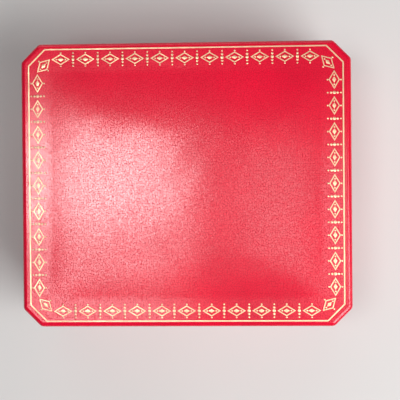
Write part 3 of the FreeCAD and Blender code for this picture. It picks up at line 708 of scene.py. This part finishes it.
class KEEPSAKE_OT_lid_cover(bpy.types.Operator):
    """Cover the lid: leather with a rounded edge, a flat border and a softly padded field"""

    bl_idname = "keepsake.lid_cover"
    bl_label = "Lid cover"

    def execute(self, context):
        leather = context.scene.keepsake_leather
        piece = leather_block("lid_cover", lid_low.z, border_top, leather.edge_round, 7)
        stop_face(1)
        open_window(lid_low.z, -1, well_x, well_y)
        pick("FACE", level_face(border_top, 1))
        bpy.ops.mesh.delete(type="ONLY_FACE")
        reach_x = half_x - leather.field_inset
        reach_y = half_y - leather.field_inset
        cell = leather.field_cell
        across, along = round(2 * reach_x / cell), round(2 * reach_y / cell)
        bpy.ops.mesh.select_all(action="DESELECT")
        middle = (0, 0, border_top)
        bpy.ops.mesh.primitive_grid_add(x_subdivisions=across, y_subdivisions=along, size=1, location=middle)
        bpy.ops.transform.resize(value=(2 * reach_x, 2 * reach_y, 1), center_override=middle)
        corner = Vector((reach_x, reach_y, border_top))
        pick("VERT", lambda v: (Vector((abs(v.co.x), abs(v.co.y), v.co.z)) - corner).length < NEAR)
        bpy.ops.mesh.dissolve_verts()
        for ring, rise in enumerate(FIELD_RISES):
            inset = (ring + 0.5) * cell
            pick("VERT", within(reach_x - inset, reach_y - inset, border_top - NEAR))
            bpy.ops.transform.translate(value=(0, 0, rise * field_rise))
        pick("VERT", within(reach_x, reach_y, border_top + NEAR))
        bpy.ops.mesh.vertices_smooth(factor=0.5, repeat=14)
        pick("EDGE", lambda edge: edge.is_boundary and level_edge(border_top)(edge))
        bpy.ops.mesh.bridge_edge_loops()
        outward()
        leave()
        soft = piece.vertex_groups.new(name="field")
        inner = [v.index for v in piece.data.vertices if v.co.z > border_top + 0.8 * field_rise]
        soft.add(inner, 1.0, "REPLACE")
        clouds = bpy.data.textures.new("wadding_lumps", "CLOUDS")
        clouds.noise_scale = leather.lump_spread
        apply_modifier(
            piece, "DISPLACE", texture=clouds, texture_coords="LOCAL", direction="Z",
            strength=leather.lumps, mid_level=0.55, vertex_group="field",
        )
        apply_modifier(piece, "SOLIDIFY", thickness=leather.thickness, offset=-1.0)
        rim = lid_low.z
        clear_hinges(piece, rim - STAND_OUT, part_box("left_hinge_lid_leaf")[1].z)
        clear_plate(piece, "strike", rim - STAND_OUT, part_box("strike")[1].z)
        mend_cuts(piece)
        smooth(piece, 32)
        lay_grain(piece)
        finish_piece(piece, "grained_leather", "lid", "red_leather", "lid_leather_cover")
        return {"FINISHED"}


class KEEPSAKE_OT_base_cover(bpy.types.Operator):
    """Cover the base: leather turned over the rim and under the floor"""

    bl_idname = "keepsake.base_cover"
    bl_label = "Base cover"

    def execute(self, context):
        leather = context.scene.keepsake_leather
        piece = leather_block("base_cover", base_low.z, base_high.z, leather.rim_round, 3)
        stop_face(-1)
        open_window(base_high.z, 1, well_x, well_y)
        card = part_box("underside_card")[1]
        card_gap = 0.0003
        open_window(base_low.z, -1, card.x + card_gap, card.y + card_gap)
        outward()
        leave()
        apply_modifier(piece, "SOLIDIFY", thickness=leather.thickness, offset=-1.0)
        rim = base_high.z
        clear_hinges(piece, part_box("left_hinge_base_leaf")[0].z, rim + STAND_OUT)
        clear_plate(piece, "catch_face_plate", rim - STAND_OUT, rim + STAND_OUT)
        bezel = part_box("button_bezel")
        middle = (0, -half_y, (bezel[0].z + bezel[1].z) / 2)
        bezel_hole = 0.00505
        take_out(piece, add_rod("room", bezel_hole, 2 * STAND_OUT, middle, (math.pi / 2, 0, 0)))
        mend_cuts(piece)
        smooth(piece, 32)
        lay_grain(piece)
        finish_piece(piece, "grained_leather", "base", "red_leather", "base_leather_cover")
        return {"FINISHED"}


# Gold tooling on the lid


def frame_outline(name, reach_x, reach_y, leg):
    """A flat octagon on the lid's border, in edit mode."""
    bpy.ops.object.select_all(action="DESELECT")
    bpy.ops.mesh.primitive_plane_add(size=1, location=(0, 0, border_top))
    piece = settle(name, (2 * reach_x, 2 * reach_y, 1))
    edit(piece)
    bpy.ops.mesh.select_all(action="SELECT")
    cut_corners(leg)
    bpy.ops.mesh.select_all(action="SELECT")
    return piece


def press_line(width, foil, level):
    """Turn the selected face into a line of foil along its outline, with its top edges rounded."""
    bpy.ops.mesh.inset(thickness=width)
    bpy.ops.mesh.delete(type="FACE")
    bpy.ops.mesh.select_all(action="SELECT")
    raise_selected(foil)
    outward()
    ends = level_edge(level + foil)
    pick("EDGE", lambda edge: ends(edge) and edge.calc_face_angle(0) > 1)
    round_edges(0.85 * foil, 2)
    leave()


class KEEPSAKE_OT_gold_rule(bpy.types.Operator):
    """Lay the plain gold rule along the lid's edge"""

    bl_idname = "keepsake.gold_rule"
    bl_label = "Gold rule"

    def execute(self, context):
        tooling = context.scene.keepsake_tooling
        half = tooling.rule_width / 2
        reach_x = half_x - tooling.rule_inset_x + half
        reach_y = half_y - tooling.rule_inset_y + half
        piece = frame_outline("gold_rule", reach_x, reach_y, tooling.rule_cut + half * (2 - math.sqrt(2)))
        press_line(tooling.rule_width, tooling.foil, border_top)
        smooth(piece, 40)
        finish_piece(piece, "gold_foil", "lid", "brass")
        return {"FINISHED"}


def add_stud(x, y, radius_x, radius_y, sides, height):
    """A small stamped mound of foil, flat under and bevelled over."""
    bpy.ops.object.select_all(action="DESELECT")
    middle = (x, y, border_top + height / 2)
    bpy.ops.mesh.primitive_cone_add(vertices=sides, radius1=1, radius2=0.5, depth=1, location=middle)
    piece = settle("stud", (radius_x, radius_y, height))
    edit(piece)
    pick("EDGE", level_edge(border_top + height))
    round_edges(0.25 * min(radius_x, radius_y), 1)
    leave()
    return piece


def model_lozenge(tooling):
    """One lozenge at the middle of the lid: an open line, studs within it and a bead at each blunt point."""
    bpy.ops.object.select_all(action="DESELECT")
    bpy.ops.mesh.primitive_circle_add(vertices=4, radius=0.5, fill_type="NGON", location=(0, 0, border_top))
    line = settle("lozenge", (tooling.lozenge_length, tooling.lozenge_width, 1))
    edit(line)
    bpy.ops.mesh.select_all(action="SELECT")
    press_line(tooling.line, tooling.foil, border_top)
    run, width, foil = tooling.lozenge_length, tooling.lozenge_width, tooling.foil
    heart, inner, outer = 0.17, 0.24, 0.585
    pieces = [line, add_stud(0, 0, heart * run, heart * width, 4, foil)]
    small = 0.32 * tooling.bead
    for side in (-1, 1):
        pieces.append(add_stud(inner * side * run, 0, small, small, 8, foil))
        pieces.append(add_stud(0, outer * side * width, small, small, 8, foil))
    return join("lozenge", pieces)


def model_beads(tooling):
    """One row of beads across the border."""
    pieces = []
    for offset, size in ((-2, 0.32), (-1, 0.42), (0, 0.56), (1, 0.42), (2, 0.32)):
        radius = size * tooling.bead
        pieces.append(add_stud(0, 1.15 * offset * tooling.bead, radius, radius, 10, tooling.foil))
    return join("beads", pieces)


def place_copy(master, x, y, turn):
    only(master)
    bpy.ops.object.duplicate(linked=False)
    copy = bpy.context.object
    copy.location = (x, y, 0)
    copy.rotation_euler = (0, 0, turn)
    return copy


class KEEPSAKE_OT_gold_border(bpy.types.Operator):
    """Stamp the gold border: lozenges with rows of beads between them"""

    bl_idname = "keepsake.gold_border"
    bl_label = "Gold border"

    def execute(self, context):
        tooling = context.scene.keepsake_tooling
        lozenge = model_lozenge(tooling)
        beads = model_beads(tooling)
        field = context.scene.keepsake_leather.field_inset
        band_x = half_x - (tooling.rule_inset_x + field) / 2
        band_y = half_y - (tooling.rule_inset_y + field) / 2
        quarter = math.pi / 2
        room, shift = tooling.corner_room, tooling.corner_shift
        rows = (
            (tooling.front_count, band_x - room, band_y, 0),
            (tooling.side_count, band_y - room, band_x, quarter),
        )
        copies = []
        for side in (-1, 1):
            for count, run, edge, turn in rows:
                step = 2 * run / (count - 1)
                for number in range(2 * count - 1):
                    along = -run + number * step / 2
                    place = (along, side * edge) if turn == 0 else (side * edge, along)
                    copies.append(place_copy(beads if number % 2 else lozenge, *place, turn))
            for other in (-1, 1):
                place = (other * (band_x - shift), side * (band_y - shift))
                copies.append(place_copy(lozenge, *place, -other * side * quarter / 2))
        bpy.data.objects.remove(lozenge)
        bpy.data.objects.remove(beads)
        piece = join("gold_border", copies)
        smooth(piece, 40)
        finish_piece(piece, "gold_foil", "lid", "brass")
        return {"FINISHED"}


# Leaf spring of the catch


class KEEPSAKE_OT_leaf_spring(bpy.types.Operator):
    """Bow the strip that stands behind the push button"""

    bl_idname = "keepsake.leaf_spring"
    bl_label = "Leaf spring"

    def execute(self, context):
        strip = context.scene.keepsake_catch.strip
        low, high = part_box("catch_spring")
        depth = high.y - low.y
        chord = (high.x - low.x) / 2
        rise = depth - strip
        radius = (chord * chord + rise * rise) / (2 * rise)
        middle = (low.z + high.z) / 2
        bpy.ops.object.select_all(action="DESELECT")
        crown = (0, low.y + strip / 2, middle)
        bpy.ops.mesh.primitive_plane_add(size=1, location=crown, rotation=(0, math.pi / 2, 0))
        piece = settle("leaf_spring", (high.z - low.z, strip, 1))
        edit(piece)
        bpy.ops.mesh.select_all(action="SELECT")
        bpy.ops.mesh.delete(type="ONLY_FACE")
        turn = math.asin(chord / radius)
        for side in (-1, 1):
            pick("EDGE", lambda edge: all(abs(v.co.x) < NEAR for v in edge.verts))
            bpy.ops.mesh.spin(steps=12, angle=side * turn, center=(0, low.y + radius, middle), axis=(0, 0, 1))
            bpy.ops.mesh.edge_face_add()
        outward()
        leave()
        smooth(piece, 40)
        finish_piece(piece, "blued_steel", "base", "spring_steel", "catch_spring")
        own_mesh(piece)
        return {"FINISHED"}


# Padded panels


def swell(piece, pressure, most):
    """Fill a panel by cloth simulation until it rests, with its seat held, and cap how far a point moves.

    The panel comes in at PAD_SCALE times its size, where the solver keeps its accuracy.
    """
    frames = 40
    only(piece)
    cloth = piece.modifiers.new("cloth", "CLOTH")
    fabric = cloth.settings
    fabric.quality = 6
    fabric.mass = 0.1
    fabric.tension_stiffness = 15
    fabric.compression_stiffness = 15
    fabric.shear_stiffness = 5
    fabric.bending_stiffness = 0.5
    fabric.air_damping = 5
    fabric.vertex_group_mass = "held"
    fabric.use_pressure = True
    fabric.uniform_pressure_force = pressure
    fabric.effector_weights.gravity = 0
    cloth.point_cache.frame_start = 1
    cloth.point_cache.frame_end = frames
    before = [vertex.co.copy() for vertex in piece.data.vertices]
    for number in range(1, frames + 1):
        bpy.context.scene.frame_set(number)
    shaped = piece.evaluated_get(bpy.context.evaluated_depsgraph_get())
    after = [vertex.co.copy() for vertex in shaped.data.vertices]
    piece.modifiers.remove(cloth)
    bpy.context.scene.frame_set(1)
    for vertex, old, new in zip(piece.data.vertices, before, after):
        shift = new - old
        vertex.co = old + shift * min(1.0, most / max(shift.length, 1e-9))


def padded_panel(name, node, crown_up, start, pressure):
    """A crowned pad on a flat seat, with drawn-in sides, in the room of its CAD solid."""
    lining = bpy.context.scene.keepsake_lining
    low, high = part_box(node)
    reach_x, reach_y = high.x - PAD_GAP, high.y - PAD_GAP
    thick = high.z - low.z
    scale = PAD_SCALE
    across, along = round(2 * reach_x / lining.cell), round(2 * reach_y / lining.cell)
    bpy.ops.object.select_all(action="DESELECT")
    bpy.ops.mesh.primitive_grid_add(x_subdivisions=across, y_subdivisions=along, size=1)
    piece = settle(name, (2 * reach_x * scale, 2 * reach_y * scale, 1))
    top = start * thick * scale
    apply_modifier(piece, "SOLIDIFY", thickness=top, offset=1.0)
    edit(piece)
    for share in PAD_RINGS:
        bpy.ops.mesh.select_all(action="SELECT")
        bpy.ops.mesh.bisect(plane_co=(0, 0, share * top), plane_no=(0, 0, 1))
    for ring, rise in enumerate(PAD_CROWN):
        inset = (ring + 0.5) * lining.cell
        pick("VERT", within((reach_x - inset) * scale, (reach_y - inset) * scale, 0.99 * top))
        bpy.ops.transform.translate(value=(0, 0, PAD_DOME * rise * thick * scale))
    leave()
    held = piece.vertex_groups.new(name="held")
    held.add([v.index for v in piece.data.vertices if v.co.z < PAD_HELD * top], 1.0, "REPLACE")
    swell(piece, pressure, (PAD_FULL - start) * thick * scale)
    only(piece)
    piece.scale = (1 / scale, 1 / scale, 1 / scale)
    if crown_up:
        piece.location.z = low.z
    else:
        piece.rotation_euler.x = math.pi
        piece.location.z = high.z
    bpy.ops.object.transform_apply(location=True, rotation=True, scale=True)
    apply_modifier(piece, "SUBSURF", levels=1, render_levels=1)
    only(piece)
    bpy.ops.object.shade_smooth()
    return piece


class KEEPSAKE_OT_floor_pad(bpy.types.Operator):
    """Lay the padded suede floor in the well"""

    bl_idname = "keepsake.floor_pad"
    bl_label = "Floor pad"

    def execute(self, context):
        piece = padded_panel("floor_pad", "floor_cushion", True, 0.6, 0.2)
        finish_piece(piece, "ivory_suede", "base", "lining_suede", "floor_cushion")
        return {"FINISHED"}


class KEEPSAKE_OT_lid_pad(bpy.types.Operator):
    """Fix the padded satin panel in the lid"""

    bl_idname = "keepsake.lid_pad"
    bl_label = "Lid pad"

    def execute(self, context):
        piece = padded_panel("lid_pad", "lid_cushion", False, 0.62, 0.25)
        finish_piece(piece, "cream_satin", "lid", "lid_satin", "lid_cushion")
        return {"FINISHED"}


class KEEPSAKE_OT_wadding(bpy.types.Operator):
    """Lay the wadding under the lid's leather"""

    bl_idname = "keepsake.wadding"
    bl_label = "Wadding"

    def execute(self, context):
        piece = padded_panel("lid_wadding", "lid_padding", True, 0.4, 0.05)
        finish_piece(piece, "cotton_wadding", "lid", "wadding", "lid_padding")
        return {"FINISHED"}


class KEEPSAKE_OT_felt(bpy.types.Operator):
    """Lay the felt that the box stands on"""

    bl_idname = "keepsake.felt"
    bl_label = "Felt"

    def execute(self, context):
        low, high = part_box("underside_felt")
        leather = context.scene.keepsake_leather
        inset = half_x - high.x
        bpy.ops.object.select_all(action="DESELECT")
        bpy.ops.mesh.primitive_plane_add(size=1, location=(0, 0, low.z))
        piece = settle("felt_sheet", (2 * high.x, 2 * high.y, 1))
        edit(piece)
        bpy.ops.mesh.select_all(action="SELECT")
        leg = leather.corner_cut - inset * (2 - math.sqrt(2))
        cut_corners(leg)
        bpy.ops.mesh.select_all(action="SELECT")
        raise_selected(high.z - low.z)
        outward()
        pick("EDGE", lambda edge: level_edge(low.z)(edge) or level_edge(high.z)(edge))
        felt_round = 0.0003
        round_edges(felt_round, 3)
        leave()
        smooth(piece, 40)
        finish_piece(piece, "wool_felt", "base", "felt", "underside_felt")
        return {"FINISHED"}


# Stage


def add_softbox(name, place, target, size, power):
    turn = (Vector(target) - Vector(place)).to_track_quat("-Z", "Y").to_euler()
    bpy.ops.object.light_add(type="AREA", location=place, rotation=turn)
    lamp = bpy.context.object
    lamp.name = name
    lamp.data.shape = "RECTANGLE"
    lamp.data.size, lamp.data.size_y = size
    lamp.data.energy = power


class KEEPSAKE_OT_stage(bpy.types.Operator):
    """Set the floor, the softboxes and the camera"""

    bl_idname = "keepsake.stage"
    bl_label = "Stage"

    def execute(self, context):
        scene = context.scene
        stage = scene.keepsake_stage
        bpy.ops.object.select_all(action="DESELECT")
        bpy.ops.mesh.primitive_plane_add(size=6)
        floor = settle("floor")
        tree, shader, place = new_material("pale_floor")
        cloud = use_group(tree, "mottle", Vector=place, Scale=8.0, Contrast=0.5)["Factor"]
        set_shader(
            tree, shader, Base_Color=mix(tree, cloud, scaled(stage.floor, 0.97), tuple(stage.floor)),
            Roughness=0.85, Specular_IOR_Level=0.2,
        )
        floor.data.materials.append(bpy.data.materials["pale_floor"])
        add_softbox("main_light", (0.56, -0.36, 0.74), (0, 0, 0.06), (0.7, 0.7), stage.main)
        add_softbox("back_light", (-0.2, 1.1, 0.5), (0, 0, 0.03), (1.4, 0.8), 0.32 * stage.main)
        overhead = (
            ("left_light", -0.255, 0.02, (0.33, 0.18), 1.0),
            ("low_light", -0.24, -0.18, (0.3, 0.2), 0.4),
            ("right_light", 0.14, -0.07, (0.24, 0.28), 0.22),
        )
        for name, x, y, size, share in overhead:
            add_softbox(name, (x, y, OVERHEAD), (x, y, 0), size, share * stage.left)
        world = bpy.data.worlds.new("studio")
        scene.world = world
        world.use_nodes = True
        back = world.node_tree.nodes["Background"]
        back.inputs["Color"].default_value = (0.92, 0.93, 0.95, 1)
        back.inputs["Strength"].default_value = stage.room
        turn = tuple(math.radians(angle) for angle in PHOTO_TURN)
        bpy.ops.object.camera_add(location=PHOTO_PLACE, rotation=turn)
        camera = bpy.context.object
        camera.name = "photo_camera"
        camera.data.sensor_width = 36
        camera.data.lens = stage.lens
        camera.data.clip_start = 0.02
        scene.camera = camera
        scene.view_settings.view_transform = "Standard"
        return {"FINISHED"}


OPERATORS = (
    KEEPSAKE_OT_finishes,
    KEEPSAKE_OT_lid_cover,
    KEEPSAKE_OT_base_cover,
    KEEPSAKE_OT_gold_rule,
    KEEPSAKE_OT_gold_border,
    KEEPSAKE_OT_leaf_spring,
    KEEPSAKE_OT_floor_pad,
    KEEPSAKE_OT_lid_pad,
    KEEPSAKE_OT_wadding,
    KEEPSAKE_OT_felt,
    KEEPSAKE_OT_stage,
)
SETTINGS = {
    "keepsake_leather": KeepsakeLeather,
    "keepsake_tooling": KeepsakeTooling,
    "keepsake_catch": KeepsakeCatch,
    "keepsake_lining": KeepsakeLining,
    "keepsake_stage": KeepsakeStage,
}


class KEEPSAKE_PT_panel(bpy.types.Panel):
    bl_label = "Keepsake Box"
    bl_idname = "KEEPSAKE_PT_panel"
    bl_space_type = "VIEW_3D"
    bl_region_type = "UI"
    bl_category = "Keepsake Box"

    def draw(self, context):
        for name, group in SETTINGS.items():
            box = self.layout.box()
            for setting in group.__annotations__:
                box.prop(getattr(context.scene, name), setting)
        for operator in OPERATORS:
            self.layout.operator(operator.bl_idname)


def register():
    for group in SETTINGS.values():
        bpy.utils.register_class(group)
    for name, group in SETTINGS.items():
        setattr(bpy.types.Scene, name, PointerProperty(type=group))
    for operator in OPERATORS:
        bpy.utils.register_class(operator)
    bpy.utils.register_class(KEEPSAKE_PT_panel)


def unregister():
    bpy.utils.unregister_class(KEEPSAKE_PT_panel)
    for operator in reversed(OPERATORS):
        bpy.utils.unregister_class(operator)
    for name, group in SETTINGS.items():
        delattr(bpy.types.Scene, name)
        bpy.utils.unregister_class(group)


def main():
    register()
    bpy.ops.keepsake.finishes()
    bpy.ops.keepsake.lid_cover()
    bpy.ops.keepsake.base_cover()
    bpy.ops.keepsake.gold_rule()
    bpy.ops.keepsake.gold_border()
    bpy.ops.keepsake.leaf_spring()
    bpy.ops.keepsake.floor_pad()
    bpy.ops.keepsake.lid_pad()
    bpy.ops.keepsake.wadding()
    bpy.ops.keepsake.felt()
    bpy.ops.keepsake.stage()
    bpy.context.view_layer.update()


if __name__ == "__main__":
    main()
